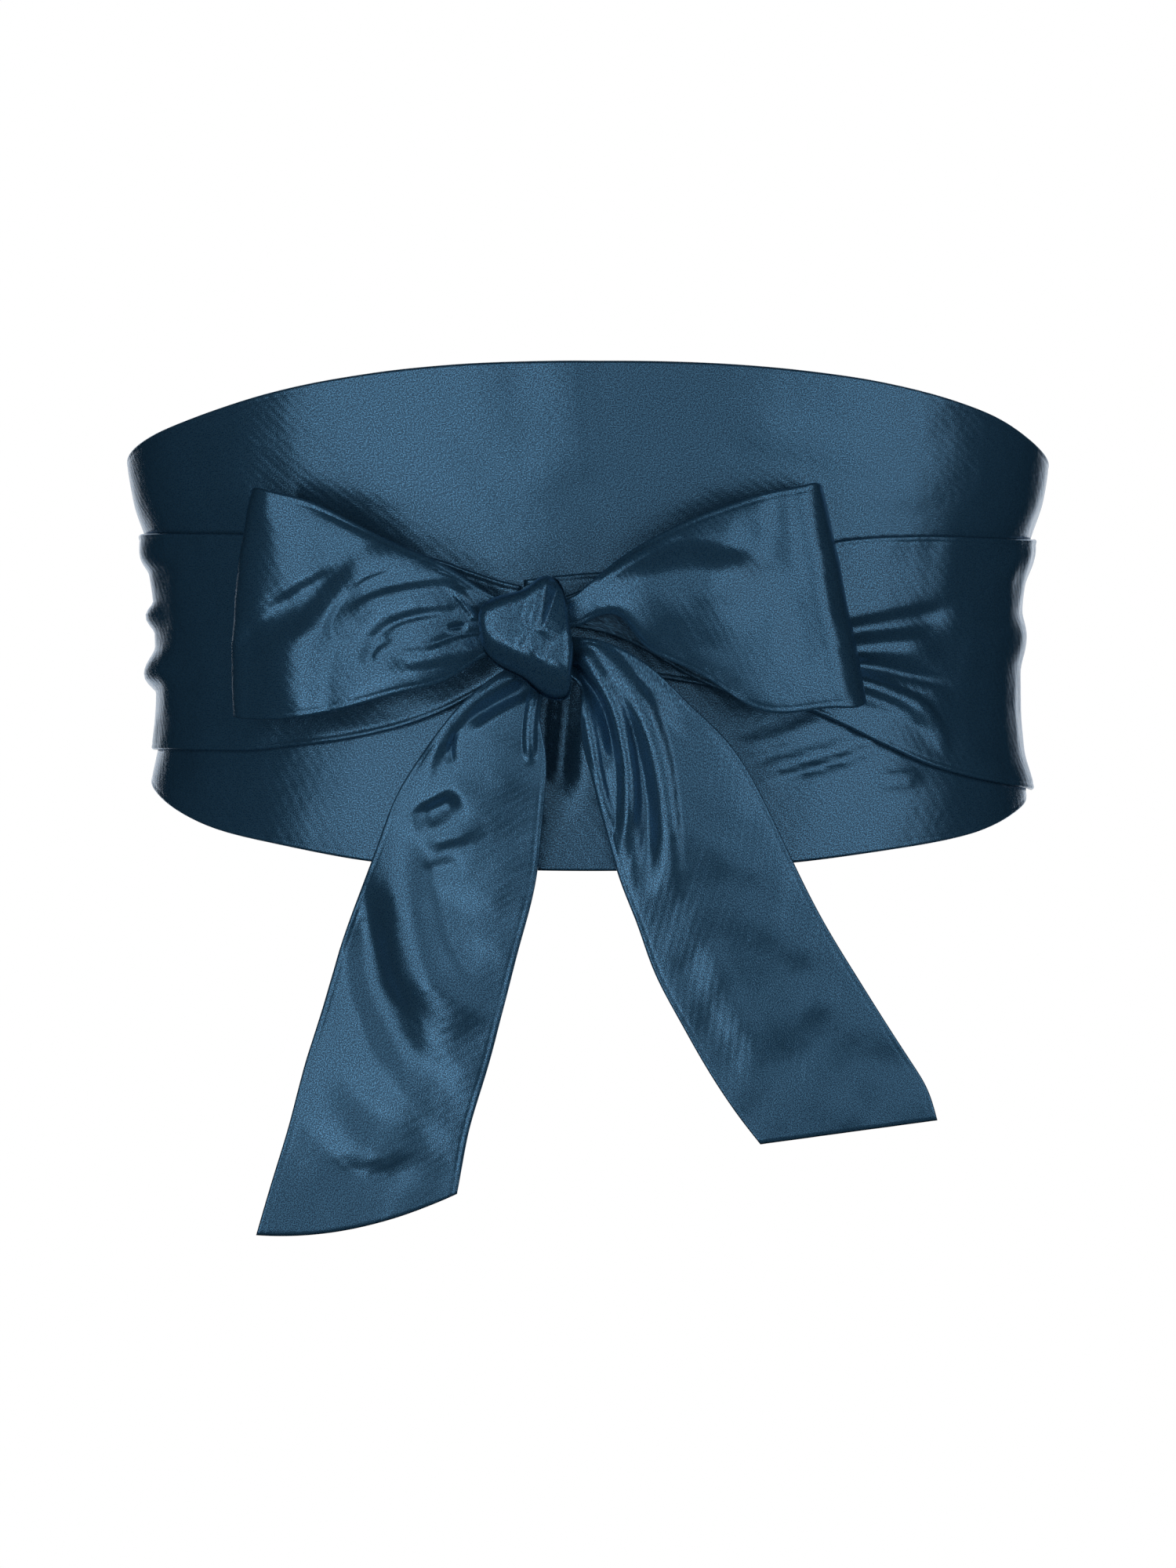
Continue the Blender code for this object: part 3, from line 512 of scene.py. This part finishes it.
def add_mesh(name, points, quads, pattern, material):
    """A smooth mesh from points in millimetres, with the weave's own coordinates on it."""
    quads = np.asarray(quads, np.int32)
    mesh = bpy.data.meshes.new(name)
    mesh.vertices.add(len(points))
    mesh.vertices.foreach_set("co", (points * MM).astype(np.float32).ravel())
    mesh.loops.add(quads.size)
    mesh.loops.foreach_set("vertex_index", quads.ravel())
    mesh.polygons.add(len(quads))
    mesh.polygons.foreach_set("loop_start", np.arange(0, quads.size, 4, dtype=np.int32))
    mesh.polygons.foreach_set("loop_total", np.full(len(quads), 4, np.int32))
    mesh.update(calc_edges=True)
    mesh.validate()
    mesh.attributes.new("weave_mm", "FLOAT_VECTOR", "POINT")
    mesh.attributes["weave_mm"].data.foreach_set("vector", pattern.astype(np.float32).ravel())
    mesh.shade_smooth()
    mesh.materials.append(material)
    piece = bpy.data.objects.new(name, mesh)
    bpy.context.scene.collection.objects.link(piece)
    return piece


def add_cloth(name, middle, wall, material):
    """A shell of cloth round its middle surface, with turned edges that close it all round."""
    length, width = middle.shape[:2]
    out = facing(middle)
    from_start = np.cumsum(np.linalg.norm(np.diff(middle, axis=1, prepend=middle[:, :1]), axis=-1), axis=1)
    from_first = np.cumsum(np.linalg.norm(np.diff(middle, axis=0, prepend=middle[:1]), axis=-1), axis=0)
    to_side = np.minimum(from_start, from_start[:, -1:] - from_start)
    to_end = np.minimum(from_first, from_first[-1:] - from_first)
    to_edge = np.minimum(to_side, to_end)
    turned = np.sqrt(1 - (1 - np.clip(to_edge / EDGE_ROUND, 0, 1)) ** 2)
    pressed = SEAM_DEPTH * np.exp(-((to_side - SEAM_INSET) / SEAM_WIDTH) ** 2)
    half = (wall / 2 * turned - pressed)[..., None]
    outer, inner = middle + out * half, middle - out * half
    count = length * width
    index = np.arange(count).reshape(length, width)
    behind = index + count
    behind[0], behind[-1], behind[:, 0], behind[:, -1] = index[0], index[-1], index[:, 0], index[:, -1]
    front = np.stack([index[:-1, :-1], index[1:, :-1], index[1:, 1:], index[:-1, 1:]], axis=-1)
    back = np.stack([behind[:-1, :-1], behind[:-1, 1:], behind[1:, 1:], behind[1:, :-1]], axis=-1)
    quads = np.concatenate([front.reshape(-1, 4), back.reshape(-1, 4)])
    weave = np.stack([from_first, from_start, np.zeros_like(from_start)], axis=-1)
    pattern = np.concatenate([weave.reshape(-1, 3), weave.reshape(-1, 3) + (0, 0, 40)])
    points = np.concatenate([outer.reshape(-1, 3), inner.reshape(-1, 3)])
    used, renumbered = np.unique(quads, return_inverse=True)
    return add_mesh(name, points[used], renumbered.reshape(-1, 4), pattern[used], material)


def panel_middle():
    along = even(np.array([-PANEL_REACH, PANEL_REACH]), PANEL_STEP)
    low = bend(PANEL_CUT["along"], PANEL_CUT["low"], along)[:, None]
    top = bend(PANEL_CUT["along"], PANEL_CUT["top"], along)[:, None]
    height = low + (top - low) * across(PANEL_ACROSS)
    along = np.broadcast_to(along[:, None], height.shape)
    relief = crease_relief(PANEL_CREASES, along, height) + slack(along, height, 11, 26, 0.10)
    return waist_point(along, height, relief - PANEL_WALL / 2)


def wrap_middle(rows, creases, seed, mirror):
    stations = even(rows["along"], WRAP_STEP)
    low = ease(rows["along"], rows["low"], stations)[:, None]
    top = ease(rows["along"], rows["top"], stations)[:, None]
    gap = ease(rows["along"], rows["gap"], stations)[:, None]
    height = low + (top - low) * across(WRAP_ACROSS)[None, :]
    along = np.broadcast_to(stations[:, None], height.shape)
    relief = crease_relief(creases, along, height)
    loose = slack(along, height, seed, 18, 0.10)
    grid = waist_point(along, height, gap + relief + loose + TIE_WALL / 2)
    return (grid * (-1, 1, 1))[:, ::-1] if mirror else grid


def arched(place):
    return 4 * place * (1 - place)


def padded_out(place):
    """A flatter crown that falls off near the edges, as two pressed layers have."""
    return 0.55 * (1 - (2 * place - 1) ** 4)


def band_middle(rows, creases, first, second, count, seed, crown_profile, front_rows=None, back_creases=()):
    """The middle surface of a band that runs through its sections from edge to edge."""
    edges = [np.stack([rows[f"{edge}_{axis}"] for axis in "xyz"], axis=1) for edge in (first, second)]
    knots = chord_lengths((edges[0] + edges[1]) / 2)
    stations = even(knots, BAND_STEP)
    start, end = (bend(knots, edge, stations)[:, None] for edge in edges)
    crown = bend(knots, rows["crown"], stations)[:, None]
    place = across(count)[None, :]
    grid = start * (1 - place[..., None]) + end * place[..., None]
    relief = crown * crown_profile(place)
    x, z = grid[..., 0], grid[..., 2]
    if front_rows is None:
        relief = relief + crease_relief(creases, x, z)
    else:
        turn = knots[front_rows]
        in_front = smooth((turn + 4 - stations[:, None]) / 8)
        relief = relief + in_front * crease_relief(creases, x, z)
        relief = relief + (1 - in_front) * crease_relief(back_creases, np.abs(x), z)
    relief = relief + slack(x, z, seed, 16, 0.12)
    grid = grid + facing(grid) * relief[..., None]
    if "belly" in rows:
        grid[..., 0] -= bend(knots, rows["belly"], stations)[:, None] * 4 * place * (1 - place)
    if "bow" in rows:
        grid[..., 2] -= bend(knots, rows["bow"], stations)[:, None] * 4 * place * (1 - place)
    return grid


# The knot's front is a dome over its outline, and its back narrows between the loops
KNOT_BACK = -98.0
KNOT_FRONT = -112.0
KNOT_RISE = 10.0
KNOT_DOME = 6.0
KNOT_MIDDLE = np.array([-15.5, -5.0])
KNOT_NECK = np.array([4.7, 10.3])
KNOT_NECK_MIDDLE = np.array([-15.5, -2.5])
KNOT_NECK_SHARE = 0.3


def beyond(lines, x, z):
    """How far a surface is down past each of some lines, from their slopes."""
    depths = []
    for i in range(len(lines["x"])):
        start_x, start_z, to_x, to_z, slope, rounding = (column[i] for column in lines.values())
        run_x, run_z = to_x - start_x, to_z - start_z
        past = (run_x * (z - start_z) - run_z * (x - start_x)) / math.hypot(run_x, run_z)
        depths.append(slope * rounding * np.logaddexp(0, past / rounding))
    return np.array(depths)


def knot_fall(x, z):
    """How far the knot's front is behind its flat face."""
    wall, floor = beyond(KNOT_POCKET, x, z)
    pocket = np.minimum(wall, floor)
    return beyond(KNOT_FALLS, x, z).sum(axis=0) + pocket


def knot_points():
    """Rings of the knot from its back, out round its rim and in over its front."""
    corners = np.stack([KNOT_OUTLINE["x"], KNOT_OUTLINE["z"]], axis=1)
    looped = np.concatenate([corners, corners, corners, corners[:1]])
    knots = chord_lengths(looped)
    count = len(corners)
    outline = bend(knots, looped, np.linspace(knots[count], knots[2 * count], KNOT_SIDES, endpoint=False))
    angles = np.arctan2(outline[:, 1] - KNOT_MIDDLE[1], outline[:, 0] - KNOT_MIDDLE[0])
    neck = KNOT_NECK_MIDDLE + KNOT_NECK * np.stack([np.cos(angles), np.sin(angles)], axis=1)
    rings = []
    for t in np.linspace(0, 1, KNOT_RINGS):
        if t < KNOT_NECK_SHARE:
            share = t / KNOT_NECK_SHARE
            flat = neck + (outline - neck) * smooth((share - 0.75) / 0.25)
            depth = KNOT_BACK + (KNOT_FRONT + 0.8 - KNOT_BACK) * min(1.0, share / 0.8)
            proud = np.zeros(KNOT_SIDES)
        else:
            round_off = (t - KNOT_NECK_SHARE) / (1 - KNOT_NECK_SHARE) * math.pi / 2
            spread = math.cos(round_off) ** (2 / KNOT_DOME)
            flat = KNOT_MIDDLE + (outline - KNOT_MIDDLE) * max(spread, 0.004)
            depth = KNOT_FRONT - KNOT_RISE * math.sin(round_off) ** (2 / KNOT_DOME)
            proud = crease_relief(KNOT_CREASES, flat[:, 0], flat[:, 1]) - knot_fall(flat[:, 0], flat[:, 1])
            proud = proud * smooth(round_off / 0.35)
        rings.append(np.stack([flat[:, 0], depth - proud, flat[:, 1]], axis=1))
    return np.array(rings)


def add_knot(material):
    rings = knot_points()
    count, sides = rings.shape[:2]
    index = np.arange(count * sides).reshape(count, sides)
    beside = np.roll(index, -1, axis=1)
    quads = np.stack([index[:-1], beside[:-1], beside[1:], index[1:]], axis=-1).reshape(-1, 4)
    caps = []
    for ring in (index[0], index[-1][::-1]):
        for i in range(1, sides // 2):
            caps.append((ring[i - 1], ring[-i], ring[-i - 1], ring[i]))
    quads = np.concatenate([quads, np.array(caps)])
    points = rings.reshape(-1, 3)
    pattern = points[:, (2, 0, 1)]
    return add_mesh("knot_cloth", points, quads[:, ::-1], pattern, material)


def linear(hex_colour):
    """An sRGB hex colour as linear values."""
    parts = [int(hex_colour[i:i + 2], 16) / 255 for i in (1, 3, 5)]
    return tuple(p / 12.92 if p <= 0.04045 else ((p + 0.055) / 1.055) ** 2.4 for p in parts) + (1.0,)


def node(tree, kind, settings=(), links=()):
    """A shader node with its settings, fed by the given outputs."""
    made = tree.nodes.new(kind)
    for key, value in dict(settings).items():
        if key in made.inputs:
            made.inputs[key].default_value = value
        else:
            setattr(made, key, value)
    for key, output in dict(links).items():
        tree.links.new(output, made.inputs[key])
    return made


def polyester_satin():
    """Polyester satin: long floats of dyed thread. The softboxes shine off them as a pale
    grainy sheen, and cloth that turns away from the boxes goes to its own deep navy."""
    material = bpy.data.materials.new("polyester_satin")
    material.use_nodes = True
    tree = material.node_tree
    shader = tree.nodes["Principled BSDF"]
    weave = node(tree, "ShaderNodeAttribute", {"attribute_name": "weave_mm"}).outputs["Vector"]
    # Threads are about 0.1 mm apart, too fine to show. Their glint is drawn as a 0.3 mm grain.
    grain = node(
        tree, "ShaderNodeTexNoise", {"Scale": 1 / 0.32, "Detail": 1.0, "Roughness": 0.5},
        {"Vector": weave},
    )
    thread = node(
        tree, "ShaderNodeMapRange",
        {"From Min": 0.34, "From Max": 0.68, "interpolation_type": "SMOOTHSTEP"},
        {"Value": grain.outputs["Fac"]},
    )
    shine = node(
        tree, "ShaderNodeMapRange", {"To Min": 0.06, "To Max": 0.8}, {"Value": thread.outputs["Result"]},
    )
    dye = node(tree, "ShaderNodeMix", {"data_type": "RGBA"}, {"Factor": thread.outputs["Result"]})
    dye.inputs["A"].default_value = linear("#0c2a43")
    dye.inputs["B"].default_value = linear("#4a7797")
    swell = node(tree, "ShaderNodeTexNoise", {"Scale": 1 / 9.0, "Detail": 2.0}, {"Vector": weave})
    twill = node(
        tree, "ShaderNodeTexWave", {"wave_type": "BANDS", "bands_direction": "DIAGONAL", "Scale": 0.16},
        {"Vector": weave},
    )
    lines = node(
        tree, "ShaderNodeBump", {"Strength": 1.0, "Distance": 0.00002}, {"Height": twill.outputs["Fac"]},
    )
    glint = node(
        tree, "ShaderNodeBump", {"Strength": 1.0, "Distance": 0.00005},
        {"Height": grain.outputs["Fac"], "Normal": lines.outputs["Normal"]},
    )
    ease_off = node(
        tree, "ShaderNodeBump", {"Strength": 1.0, "Distance": 0.0003},
        {"Height": swell.outputs["Fac"], "Normal": glint.outputs["Normal"]},
    )
    tree.links.new(dye.outputs["Result"], shader.inputs["Base Color"])
    tree.links.new(shine.outputs["Result"], shader.inputs["Metallic"])
    tree.links.new(ease_off.outputs["Normal"], shader.inputs["Normal"])
    shader.inputs["Roughness"].default_value = 0.2
    shader.inputs["IOR"].default_value = 1.5
    shader.inputs["Specular Tint"].default_value = linear("#b8d8f5")
    return material


def add_camera():
    """The photograph's camera: level, and 1.8 m from the middle of the waist."""
    camera = bpy.data.objects.new("camera", bpy.data.cameras.new("camera"))
    camera.data.sensor_width = 36.0
    camera.data.lens = 143.05
    camera.location = (0, -1.8, -0.0463)
    camera.rotation_euler = (math.radians(90), 0, 0)
    bpy.context.scene.collection.objects.link(camera)
    bpy.context.scene.camera = camera


def add_softbox(name, place, aim, size, power, colour="#ffffff"):
    """An area light that shines from a place towards a point."""
    light = bpy.data.lights.new(name, "AREA")
    light.shape = "RECTANGLE"
    light.size, light.size_y = size
    light.energy = power
    light.color = linear(colour)[:3]
    lamp = bpy.data.objects.new(name, light)
    lamp.location = place
    away = np.array(aim, float) - np.array(place, float)
    lamp.rotation_euler = (
        math.atan2(math.hypot(away[0], away[1]), -away[2]), 0.0, math.atan2(away[1], away[0]) - math.pi / 2,
    )
    lamp.visible_camera = False
    bpy.context.scene.collection.objects.link(lamp)


# Softboxes as the cloth sees them: where round the sash they are, in degrees to the viewer's
# right and up, how wide and high, and how bright. The last one lights the back.
SOFTBOXES = table("turn rise wide high glow", [
    (-31, 3, 46, 50, 1.0),
    (12, 3, 40, 50, 0.45),
    (53, 3, 42, 50, 0.9),
    (-22, -31, 28, 18, 1.5),
    (180, 5, 60, 50, 0.9),
])
SOFTBOX_DISTANCE = 1.4
SOFTBOX_POWER = 4.6

# The floor lies as far below a waist as a standing person's does
FLOOR_HEIGHT = -1.05
FLOOR_SIZE = 6.0


def add_floor():
    """A plain white floor that the camera sees, but that doesn't light the cloth from below."""
    half = FLOOR_SIZE / 2
    corners = [(-half, -half, FLOOR_HEIGHT), (half, -half, FLOOR_HEIGHT),
               (half, half, FLOOR_HEIGHT), (-half, half, FLOOR_HEIGHT)]
    mesh = bpy.data.meshes.new("floor")
    mesh.from_pydata(corners, [], [(0, 1, 2, 3)])
    paint = bpy.data.materials.new("matt_white_paint")
    paint.use_nodes = True
    shader = paint.node_tree.nodes["Principled BSDF"]
    shader.inputs["Base Color"].default_value = linear("#ffffff")
    shader.inputs["Roughness"].default_value = 0.9
    shader.inputs["Emission Color"].default_value = linear("#ffffff")
    shader.inputs["Emission Strength"].default_value = 1.0
    mesh.materials.append(paint)
    floor = bpy.data.objects.new("floor", mesh)
    floor.visible_diffuse = False
    floor.visible_glossy = False
    bpy.context.scene.collection.objects.link(floor)


def add_studio():
    """A white room and floor that only the camera sees, and softboxes round the sash."""
    world = bpy.data.worlds.new("studio")
    world.use_nodes = True
    world.node_tree.nodes["Background"].inputs["Color"].default_value = (1, 1, 1, 1)
    world.cycles_visibility.diffuse = False
    world.cycles_visibility.glossy = False
    bpy.context.scene.world = world
    bpy.context.scene.view_settings.view_transform = "Standard"
    add_floor()
    add_boxes()


def add_boxes():
    for i, (turn, rise) in enumerate(np.radians(np.stack([SOFTBOXES["turn"], SOFTBOXES["rise"]], axis=1))):
        place = SOFTBOX_DISTANCE * np.array([
            math.sin(turn) * math.cos(rise), -math.cos(turn) * math.cos(rise), math.sin(rise),
        ])
        half = np.radians([SOFTBOXES["wide"][i], SOFTBOXES["high"][i]]) / 2
        size = 2 * SOFTBOX_DISTANCE * np.tan(half)
        power = SOFTBOX_POWER * SOFTBOXES["glow"][i] * size[0] * size[1]
        add_softbox(f"softbox_{i}", place, (0, 0, -0.03), size, power)


def dress(piece, solid):
    """Hangs a piece on the root body, and hides the solid it stands for."""
    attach(piece, "root")
    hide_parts(solid)


def build():
    satin = polyester_satin()
    panel = add_cloth("panel_cloth", panel_middle(), PANEL_WALL, satin)
    dress(panel, "front_panel")
    right = wrap_middle(RIGHT_WRAP, RIGHT_WRAP_CREASES, 21, mirror=False)
    dress(add_cloth("wrap_right_cloth", right, TIE_WALL, satin), "wrap_right")
    left = wrap_middle(LEFT_WRAP, LEFT_WRAP_CREASES, 22, mirror=True)
    dress(add_cloth("wrap_left_cloth", left, TIE_WALL, satin), "wrap_left")
    loop = band_middle(LEFT_LOOP, LEFT_LOOP_CREASES, "top", "low", LOOP_ACROSS, 31, padded_out,
                       LEFT_LOOP_TURN, LOOP_BACK_CREASES)
    dress(add_cloth("loop_left_cloth", loop, TIE_WALL, satin), "bow_loop_left")
    loop = band_middle(RIGHT_LOOP, RIGHT_LOOP_CREASES, "low", "top", LOOP_ACROSS, 32, padded_out,
                       RIGHT_LOOP_TURN, LOOP_BACK_CREASES)
    dress(add_cloth("loop_right_cloth", loop, TIE_WALL, satin), "bow_loop_right")
    tail = band_middle(LEFT_TAIL, LEFT_TAIL_CREASES, "left", "right", TAIL_ACROSS, 41, arched)
    dress(add_cloth("tail_left_cloth", tail, TIE_WALL, satin), "tail_left")
    tail = band_middle(RIGHT_TAIL, RIGHT_TAIL_CREASES, "left", "right", TAIL_ACROSS, 42, arched)
    dress(add_cloth("tail_right_cloth", tail, TIE_WALL, satin), "tail_right")
    dress(add_knot(satin), "knot")
    add_camera()
    add_studio()


build()
bpy.context.view_layer.update()
